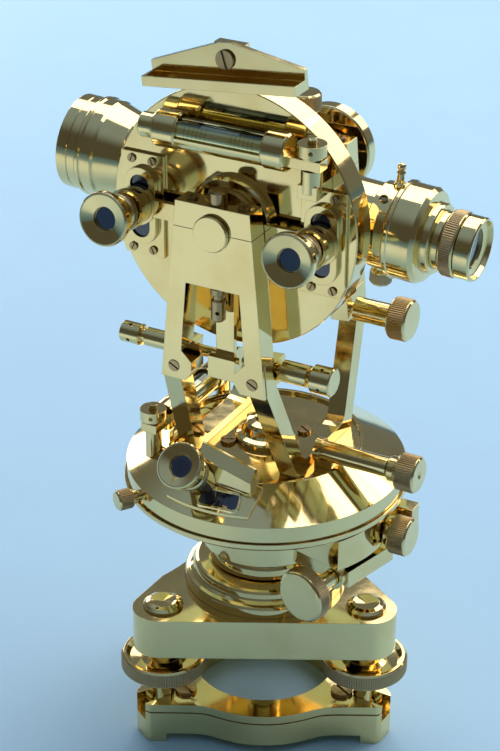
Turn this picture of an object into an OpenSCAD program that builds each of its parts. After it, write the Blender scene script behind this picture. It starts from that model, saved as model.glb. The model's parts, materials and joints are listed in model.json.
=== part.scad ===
// Transit theodolite with levelling base, enclosed circles, levels and reading microscopes.
// The vertical axis is the Z axis, the feet stand on z = 0, the telescope points along X
// and the front bearing plate faces -Y. All lengths are in millimetres.

/* [Pose] */
// Turn of the levelling base about the vertical axis, degrees
base_turn = 27.5; // [0:0.5:60]
// Downward pitch of the eyepiece end of the telescope, degrees
telescope_pitch = 3.5; // [-20:0.5:20]
// Tilt of the bubble mirror about its pivot screw, degrees
mirror_tilt = 6; // [0:1:8]

/* [Levelling base] */
// Distance from the centre to each flat side of the foot plate
foot_plate_inradius = 40; // [39:0.5:42]
// Distance from the centre to each cut corner of the foot plate
foot_plate_reach = 69; // [68:0.5:74]
// Outer radius of the ring around the centre opening
foot_ring_r = 48.5; // [46:0.5:49]
// Radius of the centre opening
opening_r = 35; // [30:0.5:36]
// Radius of the circle through the three foot screws
screw_circle_r = 56; // [55:0.5:57]
// Top of the lower foot plate
foot_plate_top = 17.4; // [17:0.1:18]
// Thickness of the locking plate
lock_plate_t = 4.2; // [3.5:0.1:4.4]
// Radius of the foot screw wheels
wheel_r = 20.5; // [17:0.5:21]
// Radius of the foot screw shafts
foot_shaft_r = 6; // [5:0.1:6.5]
// Underside of the tribrach
tribrach_bottom = 51; // [50.8:0.1:52]
// Top face of the tribrach
tribrach_top = 72; // [71.8:0.1:72.4]
// Radius of the rounded tribrach corners
corner_r = 13; // [12.5:0.5:14]
// Radius of the vertical socket in the tribrach
socket_r = 16; // [14:0.5:17]

/* [Horizontal circle] */
// Radius of the flange of the limb
limb_r = 67.5; // [67:0.1:68]
// Radius of the band of the cover
cover_r = 66.3; // [65.8:0.1:66.5]
// Radius of the inner vertical axis
axis_r = 8; // [7:0.5:9]
// Radius of the raised lip inside the cone
lip_r = 46; // [45.6:0.1:47]

/* [Standards] */
// Height of the telescope axis above the ground
axis_z = 274.1; // [273.9:0.1:274.4]
// Distance from the vertical axis to the outer face of a bearing plate
plate_y = 52; // [51.8:0.1:52.4]
// Thickness of a bearing plate
plate_t = 11; // [10.5:0.1:11]
// Thickness of a side frame
frame_t = 9; // [8.6:0.1:9.2]
// Inward lean of a side frame, degrees
frame_lean = 5; // [4.8:0.1:5.2]
// Radius of the trunnions
trunnion_r = 6; // [5:0.1:6.3]

/* [Vertical circle] */
// Outer radius of the vertical circle casing
casing_r = 59.3; // [58:0.1:60]
// Distance from the vertical axis to the front face of the casing
casing_y = 33.4; // [33.2:0.1:33.6]
// Sideways distance of the reading microscopes from the trunnion axis
microscope_x = 44.2; // [43:0.1:45]
// Radius of the eyepiece cups of the reading microscopes
cup_r = 12; // [11:0.5:12.5]

/* [Telescope] */
// Radius of the telescope tube
tube_r = 17.5; // [16.5:0.1:17.8]
// Radius of the objective bell
bell_r = 22.6; // [21:0.1:23]
// Radius of the draw tube
draw_r = 13; // [12.6:0.1:13.2]

/* [Hidden] */
// Radial running clearance of all turning and sliding fits
fit = 0.05;
// Number of facets of round features
$fn = 96;
// Underside of the cover, just above the limb flange
cover_bottom = 131.7;
// Inner flat of the cover plate
plate_z = 149.5;
// Foot of a side frame measured from the vertical axis
frame_x = 26.25;
// Height of the clip screws and of the slow motion screws
clip_z = 208;
// Distance of the clip screws from the vertical axis
clip_y = 36;
// Turn of the lower clamp arm about the vertical axis
arm_turn = -14;
// Local position of the lower slow motion screw on its arm
arm_x = 54.7;
// Height of the ball centres of the foot screws above the ground
ball_z = 14.5;
// Radius of the foot screw balls and of the necks above them
ball_r = 6;
neck_r = 4.5;
// Top of the locking plate
lock_top = foot_plate_top + lock_plate_t;
// Height of the sloping part of the cover and top of its band
cone_h = 11.3;
band_top = plate_z + 1.5 - cone_h;
// Place of the plate level and of its two posts
level_x = -42;
level_z = 161;
post_y = 33.5;
// Length of the turning eyepiece cups
cup_l = 17;
brass = [0.80, 0.66, 0.34];
glass = [0.12, 0.16, 0.22];
silver = [0.80, 0.80, 0.76];

// Which node to draw

// ---------------------------------------------------------------- helpers

// Points of the three-armed outline: flat sides, cut corners and a round middle.
function arm_r(t, a, c) =
  let (s = [for (k = [0:2]) a / max(0.05, cos(t - 120 * k + 90))],
       e = [for (k = [0:2]) c / max(0.05, cos(t - 120 * k - 90))])
  min(min(s), min(e));
function soft(a, b) = pow(pow(a, 30) + pow(b, 30), 1 / 30);

module arm_outline(a, c, r) {
  polygon([for (t = [0:2:358]) let (q = soft(arm_r(t, a, c), r)) [q * cos(t), q * sin(t)]]);
}

// Points a Z-aligned child along +X, +Y or -Y.
module to_x(p) {
  translate(p) rotate([0, 90, 0]) children();
}

module to_y(p) {
  translate(p) rotate([-90, 0, 0]) children();
}

module to_front(p) {
  translate(p) rotate([90, 0, 0]) children();
}

// Turned part from a list of [radius, height] points.
module turned(points) {
  rotate_extrude() polygon(points);
}

// Round rod between two heights.
module rod(r, a, b) {
  translate([0, 0, a]) cylinder(r = r, h = b - a);
}

// Slotted cheese head screw, head underside at z = 0, shank downwards.
module slotted_screw(head_r, head_h, shank_r, shank_l, slot_w) {
  difference() {
    union() {
      cylinder(r = head_r, h = head_h);
      rod(shank_r, -shank_l, 0.2);
    }
    translate([-slot_w / 2, -head_r - 1, head_h * 0.45]) cube([slot_w, 2 * head_r + 2, head_h]);
  }
}

// Radial holes for a capstan bar.
module capstan_holes(r, z, n) {
  for (k = [0:n - 1]) rotate([0, 0, 360 * k / n + 20]) translate([r * 0.45, 0, z])
    rotate([0, 90, 0]) cylinder(r = 0.9, h = r, $fn = 24);
}

module base_frame() {
  rotate([0, 0, base_turn]) children();
}

module at_foot(k) {
  rotate([0, 0, -150 + 120 * k]) translate([screw_circle_r, 0, 0]) children();
}

// ---------------------------------------------------------------- levelling base

// Ball sockets of the foot screws, open upwards with radius r and slotted outwards.
module foot_sockets(r) {
  for (k = [0:2]) at_foot(k) {
    translate([0, 0, ball_z]) sphere(r = ball_r + 0.08);
    rod(r, ball_z, lock_top + 1);
    translate([0, -neck_r, ball_z - 3]) cube([30, 2 * neck_r, 20]);
  }
}

module fork_screw_places() {
  translate([-38.2, -27.5, lock_top]) children();
  translate([38.2, -27.5, lock_top]) children();
  translate([0, 45, lock_top]) children();
}

module trivet_base() {
  color(brass) base_frame() difference() {
    union() {
      translate([0, 0, 4.6]) linear_extrude(foot_plate_top - 5.4)
        arm_outline(foot_plate_inradius, foot_plate_reach, foot_ring_r);
      translate([0, 0, 15]) linear_extrude(foot_plate_top - 15)
        arm_outline(foot_plate_inradius - 0.9, foot_plate_reach - 0.9, foot_ring_r - 0.9);
      intersection() {
        linear_extrude(5)
          arm_outline(foot_plate_inradius, foot_plate_reach, foot_ring_r);
        for (k = [0:2]) rotate([0, 0, -150 + 120 * k]) translate([61, -40, 0]) cube([30, 80, 5]);
      }
      rod(opening_r + 2.5, 0, 10);
    }
    rod(opening_r, -1, lock_top + 1);
    foot_sockets(ball_r + 0.3);
    fork_screw_places() rod(2.6, -13, 1);
  }
}

module trivet_lock_plate() {
  color(brass) base_frame() difference() {
    translate([0, 0, foot_plate_top]) linear_extrude(lock_plate_t)
      arm_outline(foot_plate_inradius, foot_plate_reach, foot_ring_r);
    rod(opening_r, -1, lock_top + 1);
    foot_sockets(neck_r + 0.3);
    fork_screw_places() rod(2.6, -13, 1);
  }
}

module trivet_screws() {
  color(brass) base_frame() fork_screw_places() rotate([0, 0, 35])
    slotted_screw(5.3, 1.8, 2.55, 12, 1.3);
}

module tribrach() {
  color(brass) base_frame() difference() {
    translate([0, 0, tribrach_bottom]) linear_extrude(tribrach_top - tribrach_bottom)
      hull() for (k = [0:2]) at_foot(k) translate([2, 0]) circle(r = corner_r);
    for (s = [30, 150]) rotate([0, 0, s])
      translate([screw_circle_r / 2 + corner_r - 2.5 + 110, 0, tribrach_bottom - 1])
        cylinder(r = 110, h = tribrach_top - tribrach_bottom + 2, $fn = 240);
    rod(socket_r, tribrach_bottom - 1, tribrach_top + 1);
    for (k = [0:2]) at_foot(k) rod(foot_shaft_r, tribrach_bottom - 1, tribrach_top + 1);
  }
}

module foot_screw_caps() {
  color(brass) base_frame() for (k = [0:2]) at_foot(k) translate([0, 0, tribrach_top])
    difference() {
      turned([[0, 0], [9.5, 0], [9.5, 1.2], [8.2, 2.4], [6.4, 3.2], [5.2, 2.9], [0, 2.2]]);
      for (s = [0, 180]) rotate([0, 0, s + 40]) translate([7.4, 0, 1.2]) rod(0.7, 0, 4);
    }
}

module tribrach_collar() {
  color(brass) turned([
    [socket_r + fit, tribrach_top], [39, tribrach_top], [39, 76.6], [38.2, 77.6],
    [36.6, 78.2], [35.2, 79.4], [34.6, 80.2], [34.6, 82.6], [33.8, 83.6], [32.6, 84.2],
    [28, 84.6], [socket_r + fit, 84.6]]);
}

// One foot screw: ball, neck, dished wheel and shaft turned from one bar.
module foot_screw() {
  translate([0, 0, ball_z]) sphere(r = ball_r);
  turned([[0, 17], [neck_r, 17], [neck_r, 28.5], [7.5, 32.5], [wheel_r - 4, 35.6],
    [wheel_r - 0.8, 37.2], [wheel_r, 38], [wheel_r, 45], [wheel_r - 0.9, 45.8],
    [wheel_r - 2.2, 45.8], [wheel_r - 4, 43.2], [11, 42.4], [8.6, 44], [8, 46],
    [8, 50.6], [foot_shaft_r - fit, 50.6], [foot_shaft_r - fit, 69.6],
    [foot_shaft_r - 0.8, 70.4], [0, 70.4]]);
}

module foot_screw_left() {
  color(brass) base_frame() at_foot(0) foot_screw();
}

module foot_screw_right() {
  color(brass) base_frame() at_foot(1) foot_screw();
}

module foot_screw_back() {
  color(brass) base_frame() at_foot(2) foot_screw();
}

// ---------------------------------------------------------------- limb and lower motion

module arm_frame() {
  rotate([0, 0, arm_turn]) children();
}

module limb_pan() {
  color(brass) difference() {
    union() {
      turned([[0, 44], [7, 44], [8, 45], [8, 52], [socket_r - fit, 52], [socket_r - fit, 85],
        [26, 85], [27, 86], [27, 91], [26, 92.4], [22, 93.4], [22, 106.6], [31, 107.4],
        [34, 110], [37, 115], [44, 119.4], [60, 123.6], [66.4, 128.4], [limb_r, 129.2],
        [limb_r, 131.4], [64.2, 131.4], [64.2, 126.5], [0, 126.5]]);
      intersection() {
        rod(62, 108.4, 124);
        arm_frame() translate([26, -17, 100]) cube([50, 39, 40]);
      }
      translate([50, 12.6, 111]) cube([21, 8, 11.5]);
    }
    rod(axis_r + fit, 58, 130);
    to_x([44, 3, 114]) rod(3 + fit, 0, 40);
  }
}

module graduated_circle() {
  color(silver) difference() {
    rod(62, 126.5, 128);
    rod(48, 126, 129);
  }
}

module lower_clamp_arm() {
  color(brass) difference() {
    union() {
      rod(31, 96, 106.2);
      arm_frame() translate([24, -12, 97.6]) cube([38, 33, 8.4]);
      arm_frame() to_front([arm_x, -11.5, 102]) rod(6.2, 0, 3.5);
    }
    rod(22 + fit, 90, 110);
    arm_frame() translate([30, -6, 95]) cube([14, 21, 14]);
    arm_frame() to_front([arm_x, 10, 102]) rod(3 + fit, 0, 40);
  }
}

module lower_tangent_screw() {
  color(brass) arm_frame() to_front([arm_x, 0, 102]) {
    rod(3, -4, 16);
    turned([[0, 15.4], [4, 15.4], [4, 30], [9.4, 30.4], [12.6, 31.2], [12.6, 37.4],
      [12, 38], [11.4, 38.3], [0, 38.3]]);
  }
}

module lower_clamp_knob() {
  color(brass) to_x([0, 3, 114]) {
    rod(3, 50, 63.5);
    turned([[0, 62.6], [5.4, 62.6], [6.4, 63.4], [6.4, 65], [8.2, 65.6], [9, 66.4], [9, 74.6],
      [8.3, 75.3], [0, 75.3]]);
  }
}

// ---------------------------------------------------------------- cover plate

// Outer shape of the cover: used to seat other parts on the cone.
module cover_hull(lift) {
  turned([[0, cover_bottom], [cover_r, cover_bottom], [cover_r, band_top + lift],
    [lip_r, band_top + cone_h + lift], [lip_r - 1.8, band_top + cone_h + lift],
    [lip_r - 1.8, plate_z], [0, plate_z]]);
}

module cover_plate() {
  color(brass) difference() {
    turned([[0, 60], [axis_r, 60], [axis_r, 146.2], [42.5, 146.2], [62.4, 135.6],
      [62.4, cover_bottom], [cover_r, cover_bottom], [cover_r, band_top],
      [lip_r, band_top + cone_h], [lip_r - 1.8, band_top + cone_h], [lip_r - 1.8, plate_z],
      [0, plate_z]]);
    translate([1, -60.5, 125]) cube([14, 9, 40]);
    for (sx = [-1, 1], sy = [-1, 1]) translate([13.5 * sx, 13 * sy, 0]) rod(1.55, 140, 160);
    level_post_places() rod(2.05, -20, 20);
    rotate([0, 0, -124]) to_x([50, 0, 135.4]) rod(2.5 + fit, 0, 30);
  }
}

module rim_clamp_knob() {
  color(brass) rotate([0, 0, -124]) to_x([0, 0, 135.4])
    turned([[0, 60], [2.5, 60], [2.5, 68], [3.4, 68.6], [3.4, 70.4], [4.6, 71], [4.6, 77.6],
      [4, 78.2], [0, 78.2]]);
}

module centre_cap() {
  color(brass) turned([[0, plate_z], [15, plate_z], [15, 151.6], [14.2, 152.4], [12, 153.2],
    [11, 154.4], [10.4, 157], [9.2, 158.6], [6, 159.6], [5, 159.2], [4.4, 156.6], [0, 156.6]]);
}

// ---------------------------------------------------------------- standards

module lean(s) {
  translate([s * frame_x, 0, plate_z]) rotate([0, -s * frame_lean, 0]) children();
}

module frame_side_shape() {
  polygon([[-28, -3], [-28, 0], [-50, 50.5], [-50, 66], [-41.2, 66], [-41.2, 64],
    [-31.2, 64], [-31.2, 53], [-41.2, 53], [-23.6, 11.4], [-21.8, 7.8], [-19.2, 5.6],
    [-16, 5], [16, 5], [19.2, 5.6], [21.8, 7.8], [23.6, 11.4], [41.2, 53], [31.2, 53],
    [31.2, 64], [41.2, 64], [41.2, 66], [50, 66], [50, 50.5], [28, 0], [28, -3]]);
}

// Holes of one frame: two foot screws and the two clip screw bores.
module frame_bores(s) {
  for (t = [-1, 1]) {
    to_y([s * 19.6, t * plate_y - 20, 206.1]) rod(1.65, 0, 40);
    to_x([-60, t * clip_y, clip_z]) rod(2.5 + fit, 0, 120);
  }
}

module side_frame(s) {
  difference() {
    lean(s) translate([-frame_t / 2, 0, 0]) rotate([90, 0, 90])
      linear_extrude(frame_t) frame_side_shape();
    translate([-60, -60, plate_z - 20]) cube([120, 120, 20]);
    frame_bores(s);
  }
}

module side_frame_left() {
  color(brass) side_frame(-1);
}

module side_frame_right() {
  color(brass) side_frame(1);
}

// Pocket that receives the upper end of a side frame.
module frame_pocket(s) {
  lean(s) translate([-frame_t / 2 - 0.02, -50.02, 40]) cube([frame_t + 0.04, 20, 26.04]);
}

module bearing_shape() {
  polygon([[-26, 200], [-13.8, 200], [-10.8, 204], [-10.8, 209.5], [-15.9, 214.5],
    [-13.2, 248], [13.2, 248], [15.9, 214.5], [10.8, 209.5], [10.8, 204], [13.8, 200],
    [26, 200], [19.1, axis_z - 0.1], [-19.1, axis_z - 0.1]]);
}

// Front bearing plate; the rear one is the same part turned half round.
module bearing_plate() {
  difference() {
    to_front([0, -plate_y + plate_t, 0]) linear_extrude(plate_t) bearing_shape();
    to_front([0, 0, axis_z]) rod(trunnion_r + fit, 0, 80);
    frame_pocket(1);
    frame_pocket(-1);
    for (s = [-1, 1]) {
      to_front([s * 19.6, 0, 206.1]) rod(1.65, 0, 80);
      to_front([s * 19.6, 0, 206.1]) rod(2.75, plate_y - 0.8, 80);
      translate([s * 12.5, -plate_y + plate_t / 2, 262]) rod(1.25, 0, 20);
    }
    translate([0, -plate_y + plate_t / 2, 240]) rod(2.05, 0, 26);
  }
}

module front_bearing_plate() {
  color(brass) bearing_plate();
}

module rear_bearing_plate() {
  color(brass) rotate([0, 0, 180]) bearing_plate();
}

module bearing_caps() {
  color(brass) for (a = [0, 180]) rotate([0, 0, a]) difference() {
    to_front([0, -plate_y + plate_t, 0]) linear_extrude(plate_t)
      polygon([[-19.05, axis_z + 0.1], [19.05, axis_z + 0.1], [18, 285.9], [-18, 285.9]]);
    to_front([0, 0, axis_z]) rod(trunnion_r + fit, 0, 80);
    for (s = [-1, 1]) translate([s * 12.5, -plate_y + plate_t / 2, 262]) rod(1.25, 0, 40);
    translate([0, -plate_y + plate_t / 2, 0]) rod(1.85, 281.6, 290);
  }
}

// Capstan headed screw that lifts the bearing from below the crossbar.
module bearing_lifter() {
  difference() {
    turned([[0, 230.8], [2.6, 230.8], [3.3, 231.6], [3.3, 240.6], [2.4, 241.4], [2.4, 243.2],
      [3.6, 243.8], [3.6, 246.4], [3, 247.9], [2, 247.9], [2, 264], [0, 264]]);
    capstan_holes(3.3, 235.4, 4);
  }
}

// Round stud in the middle of a bearing cap.
module cap_stud() {
  turned([[0, 282], [1.8, 282], [1.8, 285.9], [4.2, 285.9], [4.2, 291.2], [3.6, 292],
    [0, 292]]);
}

module alidade_screws() {
  color(brass) {
    for (sx = [-1, 1], sy = [-1, 1]) translate([13.5 * sx, 13 * sy, plate_z])
      rotate([0, 0, 60 * sx]) slotted_screw(3.6, 1.5, 1.5, 6, 0.9);
    for (a = [0, 180]) rotate([0, 0, a]) {
      for (s = [-1, 1]) {
        to_front([s * 19.6, -plate_y + 0.8, 206.1]) rotate([0, 0, 62])
          slotted_screw(2.7, 1.1, 1.6, 9.4, 0.7);
        translate([s * 12.5, -plate_y + plate_t / 2, 285.9]) rotate([0, 0, 20])
          slotted_screw(2.6, 1.1, 1.2, 20, 0.7);
      }
      translate([0, -plate_y + plate_t / 2, 0]) {
        bearing_lifter();
        cap_stud();
      }
    }
  }
}

// ---------------------------------------------------------------- plate level

module level_post_places() {
  for (t = [-1, 1]) translate([level_x, t * post_y, 150]) children();
}

module plate_level_tube() {
  color(brass) difference() {
    union() {
      to_y([level_x, 0, level_z]) rod(6.5, -25, 25);
      for (t = [-1, 1]) {
        to_y([level_x, 0, level_z]) rod(7, min(t * 25, t * 19), max(t * 25, t * 19));
        translate([level_x - 4, min(t * 24, t * 38), 158.6]) cube([8, 14, 4.4]);
      }
    }
    to_y([level_x, 0, level_z]) rod(5.2, -22, 22);
    translate([level_x - 4.2, -16, level_z + 1]) cube([8.4, 32, 10]);
    level_post_places() rod(2.05, 0, 30);
  }
}

module plate_level_vial() {
  color(glass) to_y([level_x, 0, level_z]) rod(5.1, -21.5, 21.5);
}

module plate_level_posts() {
  color(brass) level_post_places() {
    rod(2, -9, 22);
    difference() {
      rod(3.8, -8, 8.5);
      rod(2, -10, 10);
    }
  }
}

module plate_level_nut() {
  color(brass) translate([level_x, -post_y, 0]) difference() {
    union() {
      rod(6.3, 164.4, 169.6);
      rod(4.4, 163.2, 165);
    }
    rod(2.05, 160, 175);
    capstan_holes(6.3, 167, 4);
  }
}

// ---------------------------------------------------------------- reading microscopes

// Turning eyepiece cup of length l with face radius r, running on a tube of radius 6.
module eyepiece_cup(r, l) {
  turned([[6 + fit, 0], [7.4, 0], [8, 0.8], [8, 3.6], [7.4, 4.4], [7.8, 5.4],
    [r - 2.2, l - 5], [r, l - 3.4], [r, l - 0.8], [r - 0.6, l], [r - 1.2, l],
    [5.4, l - 1.8], [5.4, l - 2.8], [6 + fit, l - 2.8]]);
}

// Fixed tube inside the cup, with a pocket for the lens.
module cup_tube(from, l) {
  difference() {
    rod(6, from, l - 3);
    rod(5, l - 5.4, l);
  }
}

module reader_axis(s) {
  translate([s * microscope_x, -40, 273.8]) rotate([83, 0, 0]) children();
}

module plate_reader_axis() {
  translate([-6, -54.2, 153]) rotate([48, 0, 0]) children();
}

module circle_reader() {
  color(brass) difference() {
    union() {
      intersection() {
        cover_hull(1.6);
        translate([-20, -70, 130]) cube([42, 25.5, 40]);
        rod(62.8, 120, 180);
      }
      difference() {
        hull() for (end = [[-8, 167.5], [18.5, 160.5]]) translate([end[0], 0, 0])
          rotate([90, 0, 90]) linear_extrude(0.5) polygon([[-51.5, 141], [-51.5, end[1] - 5],
            [-47, end[1]], [-45.5, end[1]], [-45.5, 141]]);
        plate_reader_axis() rod(8.8, 6.4, 60);
        plate_reader_axis() rod(11.4, 12, 60);
      }
      plate_reader_axis() rod(7.2, -8, 6);
      plate_reader_axis() cup_tube(0, 7 + cup_l);
    }
    cover_hull(0);
    rod(66, 100, band_top);
    plate_reader_axis() rod(5, 7 + cup_l - 5.4, 60);
  }
}

module circle_reader_cup() {
  color(brass) plate_reader_axis() translate([0, 0, 7]) eyepiece_cup(10.8, cup_l);
}

module circle_reader_lens() {
  color(glass) plate_reader_axis() rod(4.95, 7 + cup_l - 5.2, 7 + cup_l - 3.2);
}

// ---------------------------------------------------------------- upper slow motion

module upper_tangent_barrel() {
  color(brass) difference() {
    union() {
      to_x([0, -10.5, 157]) rod(4.7, 32, 68);
      to_x([0, -10.5, 157]) rod(5.6, 32, 35);
      translate([32.2, -14, plate_z]) cube([8.8, 7, 6]);
    }
    to_x([0, -10.5, 157]) rod(2.5 + fit, 40, 80);
  }
}

module upper_tangent_knob() {
  color(brass) difference() {
    to_x([0, -10.5, 157]) turned([[0, 44], [2.5, 44], [2.5, 68.4], [5.6, 68.8], [6, 69.4],
      [6, 72.2], [7.6, 73], [8.3, 73.8], [8.3, 82.6], [7.6, 83.3], [2, 83.3], [0, 82]]);
  }
}

// ---------------------------------------------------------------- vertical slow motion

module vertical_tangent_screw() {
  color(brass) to_x([0, clip_y, clip_z]) turned([[0, 6.6], [1.6, 6.6], [2.5, 8], [2.5, 28],
    [5.8, 28.4], [5.8, 46], [9, 46.6], [9.8, 47.4], [9.8, 55.6], [9, 56.4], [0, 56.4]]);
}

module vertical_clamp_arm() {
  color(brass) difference() {
    union() {
      to_y([0, 0, axis_z]) rod(16, 28.5, 38);
      translate([-4.5, 31, clip_z]) cube([9, 7, axis_z - clip_z]);
      to_x([-4.5, clip_y, clip_z]) rod(5.2, 0, 9);
      translate([-5.5, 29.5, axis_z]) cube([11, 8.5, 24]);
    }
    to_y([0, 0, axis_z]) rod(8 + fit, 20, 40);
    translate([0, 33.8, 270]) rod(2.5 + fit, 0, 40);
  }
}

module vertical_clamp_knob() {
  color(brass) translate([0, 33.8, 0]) turned([[0, 284], [2.5, 284], [2.5, 299],
    [5, 299.4], [5, 301], [6.8, 301.6], [7.4, 302.4], [7.4, 309.8], [6.7, 310.5], [0, 310.5]]);
}

// ---------------------------------------------------------------- vertical circle casing

module circle_casing() {
  color(brass) difference() {
    union() {
      to_front([0, 0, axis_z]) turned([[22, 20], [casing_r - 0.4, 20], [casing_r, 20.4],
        [casing_r, casing_y - 0.4], [casing_r - 0.4, casing_y], [20, casing_y], [20, 36.4],
        [19, 37.4], [trunnion_r + fit, 37.4], [trunnion_r + fit, 30.4],
        [casing_r - 2.6, 30.4], [casing_r - 2.6, 22.4], [22, 22.4]]);
      translate([-9, -casing_y, 326]) cube([14, 5, 26]);
    }
    for (s = [-1, 1]) translate([s * microscope_x - 4, -casing_y - 1, 257.2]) cube([8, 5, 30]);
    to_front([-2, 0, 346]) rod(2.1, 20, 60);
  }
}

module arched(w, h) {
  translate([0, h / 2 - w / 2]) circle(r = w / 2);
  translate([0, w / 2 - h / 2]) circle(r = w / 2);
  translate([-w / 2, w / 2 - h / 2]) square([w, h - w]);
}

module window_frames() {
  color(brass) for (s = [-1, 1]) difference() {
    intersection() {
      union() {
        to_front([s * microscope_x, -casing_y, 272.2]) linear_extrude(1.8)
          translate([-10.6, -24]) square([21.2, 48]);
        to_front([s * microscope_x, -casing_y, 272.2]) linear_extrude(4.4)
          arched(15.5, 36);
      }
      to_front([0, 0, axis_z]) rod(casing_r - 0.5, 30, 50);
    }
    to_front([s * microscope_x, -casing_y + 1, 272.2]) linear_extrude(9) arched(9.5, 29.5);
    for (dx = [-5.1, 5.1], dz = [-21, 21])
      to_front([s * microscope_x + dx, 0, 272.2 + dz]) rod(0.85, 30, 40);
  }
}

module window_glasses() {
  color(glass) {
    for (s = [-1, 1]) {
      to_front([s * microscope_x, -casing_y, 272.2]) linear_extrude(3.4) arched(9.4, 29.4);
      reader_axis(s) rod(4.95, 12 + cup_l - 5.2, 12 + cup_l - 3.2);
    }
  }
}

module casing_screws() {
  color(brass) {
    for (s = [-1, 1], dx = [-5.1, 5.1], dz = [-21, 21])
      to_front([s * microscope_x + dx, -casing_y - 1.8, 272.2 + dz]) rotate([0, 0, 40 * dx])
        slotted_screw(1.9, 0.9, 0.8, 1.7, 0.5);
    to_front([-2, -36.4, 346]) rotate([0, 0, 18]) slotted_screw(4.2, 1.2, 2, 8.6, 1.1);
  }
}

// Cross bar carrying both microscopes, with the clip arm hanging from its hub.
module reader_arm() {
  color(brass) difference() {
    union() {
      to_front([0, 0, axis_z]) rod(15, 37.5, 40.6);
      translate([-microscope_x, -40.6, 269.6]) cube([2 * microscope_x, 2.6, 8]);
      translate([-4.5, -40.6, clip_z]) cube([9, 2.6, axis_z - clip_z]);
      to_x([-4.5, -clip_y, clip_z]) rod(5.6, 0, 9);
      translate([-6.5, -44.6, 200.6]) cube([13.5, 4.4, 10.4]);
      for (s = [-1, 1]) {
        to_front([s * microscope_x, -38, 273.6]) rod(9, 0, 3);
        reader_axis(s) rod(8, 0.5, 9);
        reader_axis(s) rod(9.2, 8, 11);
        reader_axis(s) cup_tube(8, 12 + cup_l);
      }
    }
    to_front([0, 0, axis_z]) rod(trunnion_r + 0.2, 30, 60);
    for (s = [-1, 1]) reader_axis(s) rod(5, 12 + cup_l - 5.4, 60);
  }
}

module reader_cup_left() {
  color(brass) reader_axis(-1) translate([0, 0, 12]) eyepiece_cup(cup_r, cup_l);
}

module reader_cup_right() {
  color(brass) reader_axis(1) translate([0, 0, 12]) eyepiece_cup(cup_r, cup_l);
}

// ---------------------------------------------------------------- altitude level

module altitude_level_tube() {
  color(brass) difference() {
    union() {
      to_x([0, -44, 314]) turned([[0, -38], [4.9, -38], [5.5, -37.4], [5.5, -31.2], [6.6, -31],
        [6.6, -30], [8, -29.6], [8.2, -29], [8.2, -19.4], [7.6, -18.8], [7.6, 22.2],
        [8.2, 22.8], [8.2, 31.8], [7.4, 32.6], [0, 32.6]]);
      translate([31, -47.5, 309]) cube([17, 7, 4.4]);
    }
    to_x([0, -44, 314]) rod(6.3, -27, 30);
    translate([-18.6, -60, 313.2]) cube([40.6, 30, 12]);
    translate([42.6, -44, 300]) rod(2.05, 0, 20);
  }
}

module altitude_level_vial() {
  color(glass) to_x([0, -44, 314]) rod(6.2, -26.5, 29.5);
}

module altitude_level_brackets() {
  color(brass) difference() {
    union() {
      translate([-28, -40, 309]) cube([7, 40 - casing_y, 10]);
      translate([38, -48, 296.4]) cube([9, 48 - casing_y, 6]);
      translate([42.6, -44, 0]) rod(2, 297, 323);
      translate([42.6, -44, 0]) rod(4.6, 299, 308.8);
    }
    to_x([0, -44, 314]) rod(8.2, -30, -10);
  }
}

module altitude_level_nut() {
  color(brass) translate([42.6, -44, 0]) difference() {
    union() {
      rod(4.6, 313.6, 315.4);
      rod(6.2, 315, 320.2);
    }
    rod(2.05, 310, 325);
    capstan_holes(6.2, 317.6, 4);
  }
}

// ---------------------------------------------------------------- bubble mirror

module mirror_frame() {
  translate([-2, 0, 346]) rotate([0, -mirror_tilt, 0]) children();
}

module mirror_bracket() {
  color(brass) mirror_frame() difference() {
    union() {
      to_front([0, -33.6, 0]) linear_extrude(2.7)
        polygon([[-36.4, -8], [-36.4, -2.2], [-2.6, 7.2], [2.6, 7.2], [36.4, -2.2], [36.4, -8]]);
      translate([-36.4, -45.4, -11]) cube([72.8, 11.8, 4.4]);
    }
    to_front([0, 0, 0]) rod(2 + fit, 20, 60);
    translate([-33, -43.6, -12]) cube([66, 8, 1.4]);
    translate([-35.2, -44.2, -9.6]) cube([70.4, 7.9, 4]);
  }
}

module mirror_glass() {
  color(silver) mirror_frame() translate([-33, -43.6, -11.4]) cube([66, 8, 0.8]);
}

// ---------------------------------------------------------------- clip screws

module clip_screw_left() {
  color(brass) difference() {
    to_x([0, -clip_y, clip_z]) turned([[0, -55.4], [4.4, -55.4], [5, -54.8], [5, -45.4],
      [4.4, -44.8], [3.2, -44.4], [3.2, -42.8], [4.4, -42.4], [4.4, -27.2], [2.5, -27],
      [2.5, -8], [1.6, -6.6], [0, -6.6]]);
    to_x([0, -clip_y, clip_z]) capstan_holes(5, -50.4, 4);
  }
}

module clip_screw_right() {
  color(brass) difference() {
    to_x([0, -clip_y, clip_z]) turned([[0, 6.6], [1.6, 6.6], [2.5, 8], [2.5, 27], [5, 27.2],
      [5, 39.6], [4.4, 40], [3.2, 40.2], [3.2, 41.2], [5.8, 41.6], [6.4, 42.2], [6.4, 51],
      [5.8, 51.6], [0, 51.6]]);
    to_x([0, -clip_y, clip_z]) capstan_holes(6.4, 46.6, 4);
  }
}

// ---------------------------------------------------------------- telescope

module telescope_frame() {
  translate([0, 0, axis_z]) rotate([0, telescope_pitch, 0]) children();
}

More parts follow.
